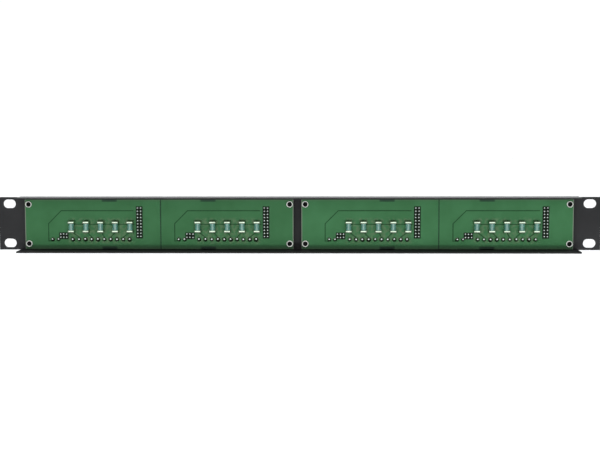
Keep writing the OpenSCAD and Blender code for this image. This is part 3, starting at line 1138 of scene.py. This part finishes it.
@dataclass
class Traces:
    """Copper traces that show under the mask of one module."""

    module: int
    board_rear: float
    width: float = 0.8 * MM
    height: float = 0.035 * MM
    lead_gap: float = 2.3 * MM
    lead_drop: float = 1.2 * MM
    outer_gap: float = 5.6 * MM
    top_rise: float = 12.9 * MM
    slant: float = 10.4 * MM
    header_gap: float = 4.6 * MM
    link_rise: float = 2.0 * MM
    link_gap: float = 3.4 * MM
    cap_drop: float = 4.0 * MM
    pin_rise: float = 1.8 * MM

    def routes(self) -> list[Profile]:
        """Corner points of the traces, as X and Z on the board."""
        leads, pins = middle(f"lamp_leads_{self.module}"), middle(f"ribbon_pins_{self.module}")
        row, caps = middle(f"patch_contacts_{self.module}"), middle(f"resistor_caps_{self.module}")
        outer, top, bottom = leads.x - self.outer_gap, caps.z + self.top_rise, row.z - self.lead_drop
        link = caps.z + self.link_rise
        half = RESISTORS // 2
        routes = [
            [(leads.x - self.lead_gap, bottom), (outer, bottom), (outer, top - self.slant),
             (outer + self.slant, top), (pins.x - self.header_gap, top)],
            [(caps.x - half * RESISTOR_PITCH, link), (pins.x - self.link_gap, link)],
        ]
        for i in range(-half, half + 1):
            inward = PATCH_PITCH / 2 if i <= 0 else -PATCH_PITCH / 2
            pin = row.x + 2 * i * PATCH_PITCH + inward
            start = (caps.x + i * RESISTOR_PITCH, caps.z - self.cap_drop)
            routes.append([start, (pin, row.z + self.pin_rise), (pin, row.z)])
        return routes

    def build(self) -> None:
        """Lays the traces on the board's rear face."""
        shape = Shape()
        for route in self.routes():
            shape.strip([Vector((x, self.board_rear, z)) for x, z in route], self.width, self.height)
        shape.piece(f"traces_{self.module}", PANEL_BODY, TRACE_MASK)


@dataclass
class WiringModule:
    """One of the four identical modules."""

    frame: Frame
    number: int
    housing_edge: float = 0.16 * MM

    def build(self) -> None:
        """Makes the module's connectors, switch, lamp, resistors and traces."""
        number = self.number
        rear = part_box("left_board")[0].y
        for piece, finish in (("patch_socket", SOCKET_MOULDING), ("ribbon_header", HEADER_MOULDING)):
            soften(self.frame, f"{piece}_{number}", self.housing_edge, "moulded", finish)
        for pins in self.pin_fields(rear):
            pins.build()
        SlideSwitch(self.frame, number).build()
        Lamp(number).build()
        ResistorRow(number, rear).build()
        Traces(number, rear).build()

    def pin_fields(self, rear: float) -> tuple[PinField, ...]:
        """The four groups of pins, from the place of the board's rear face."""
        return (
            PinField(
                f"patch_contacts_{self.number}", rear, columns=10, pitch_x=PATCH_PITCH,
                width=1.0 * MM, ring=1.8 * MM, tip=0.8 * MM, steps=22,
            ),
            PinField(
                f"lamp_leads_{self.number}", rear, columns=2, pitch_x=4.6 * MM,
                width=0.5 * MM, ring=1.6 * MM, tip=0.7 * MM, steps=20,
            ),
            PinField(
                f"ribbon_pins_{self.number}", rear, columns=2, pitch_x=RIBBON_PITCH, rows=10,
                pitch_z=RIBBON_PITCH, width=0.64 * MM, ring=0.95 * MM, tip=0.58 * MM, steps=12,
            ),
            PinField(
                f"switch_terminals_{self.number}", rear, columns=3, pitch_x=2.4 * MM, rows=2,
                pitch_z=2.6 * MM, width=0.6 * MM, ring=0.95 * MM, tip=0.58 * MM, steps=12, taper=1.0,
            ),
        )


@dataclass(frozen=True)
class SoftBox:
    """A soft light that faces the part."""

    name: str
    place: Point
    width: float
    height: float
    watts: float
    mirrored: bool = True

    def hang(self) -> None:
        """Adds the light, which shiny surfaces show only if it is mirrored."""
        data = bpy.data.lights.new(self.name, "AREA")
        data.shape = "RECTANGLE"
        data.size, data.size_y = self.width, self.height
        data.energy = self.watts
        light = add_object(self.name, data)
        light.location = self.place
        light.rotation_euler = (-Vector(self.place)).to_track_quat("-Z", "Y").to_euler()
        light.visible_glossy = self.mirrored


SOFT_BOXES = (
    SoftBox("key", (0.05, -1.6, -0.44), width=2.4, height=0.17, watts=22.0, mirrored=False),
    SoftBox("front", (0.0, -2.0, 0.3), width=2.2, height=1.4, watts=10.0),
    SoftBox("overhead", (0.0, -1.2, 1.3), width=2.4, height=0.9, watts=8.0),
)


@dataclass
class Studio:
    """Camera, lights, floor and surroundings."""

    stand: Vector = Vector((0.0342, -1.0, 0.0919))
    aim: Vector = Vector((0.00185, 0.0, -0.00122))
    roll: float = math.radians(-0.15)
    lens_mm: float = 75.16
    sensor_mm: float = 36.0
    nearest: float = 0.05
    farthest: float = 100.0
    ambient: float = 0.26
    backlight: float = 2.3
    backlight_rise: float = 0.4
    sky: Colour = (0.97, 0.99, 1.0)
    backdrop: float = 1.03
    floor_z: float = -0.55
    floor_size: float = 30.0
    paper: Colour = (0.9, 0.9, 0.9)
    paper_roughness: float = 0.9
    paper_glow: float = 0.12

    def build(self) -> None:
        """Sets up everything round the part."""
        self.add_camera()
        self.add_world()
        self.add_floor()
        for box in SOFT_BOXES:
            box.hang()
        bpy.context.scene.view_settings.view_transform = "Standard"

    def add_camera(self) -> None:
        """Places the camera where the photograph was taken from."""
        data = bpy.data.cameras.new("camera")
        data.lens = self.lens_mm
        data.sensor_width = self.sensor_mm
        data.clip_start, data.clip_end = self.nearest, self.farthest
        camera = add_object("camera", data)
        camera.location = self.stand
        turn = (self.aim - self.stand).to_track_quat("-Z", "Y") @ Quaternion((0, 0, 1), self.roll)
        camera.rotation_euler = turn.to_euler()
        bpy.context.scene.camera = camera

    def add_world(self) -> None:
        """Surrounds the part with plain pale light, which is brighter on the far side of the panel."""
        world = bpy.data.worlds.new("studio")
        graph = Graph(world)
        way = graph.parts(graph.node("ShaderNodeTexCoord", {}, {}, "Generated"))[1]
        strength = self.ambient + (self.backlight - self.ambient) * way.step(0.0, self.backlight_rise)
        lit = graph.node("ShaderNodeBackground", {}, {"Color": self.sky, "Strength": strength})
        shown = graph.node("ShaderNodeBackground", {}, {"Color": WHITE, "Strength": self.backdrop})
        seen = graph.node("ShaderNodeLightPath", {}, {}, "Is Camera Ray")
        mixed = graph.node("ShaderNodeMixShader", {}, {0: seen, 1: lit, 2: shown})
        graph.node("ShaderNodeOutputWorld", {}, {"Surface": mixed}, None)
        bpy.context.scene.world = world

    def add_floor(self) -> None:
        """Lays a plain pale floor well below the part, which hangs in its rack."""
        shape = bmesh.new()
        place = Matrix.Translation((0, 0, self.floor_z))
        bmesh.ops.create_grid(shape, x_segments=1, y_segments=1, size=self.floor_size / 2, matrix=place)
        mesh = bpy.data.meshes.new("floor")
        shape.to_mesh(mesh)
        shape.free()
        material = bpy.data.materials.new("floor_paper")
        Graph(material).surface(
            Base_Color=self.paper, Roughness=self.paper_roughness,
            Emission_Color=WHITE, Emission_Strength=self.paper_glow,
        )
        mesh.materials.append(material)
        floor = add_object("floor", mesh)
        floor.visible_glossy = False


def main() -> None:
    """Builds the studio and dresses the part, piece by piece."""
    logging.basicConfig(level=logging.INFO, format="%(name)s: %(message)s")
    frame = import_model()
    Studio().build()
    RackPanel(frame).build()
    for side in Side:
        CircuitBoard(frame, side).build()
    for number in MODULES:
        WiringModule(frame, number).build()


if __name__ == "__main__":
    main()
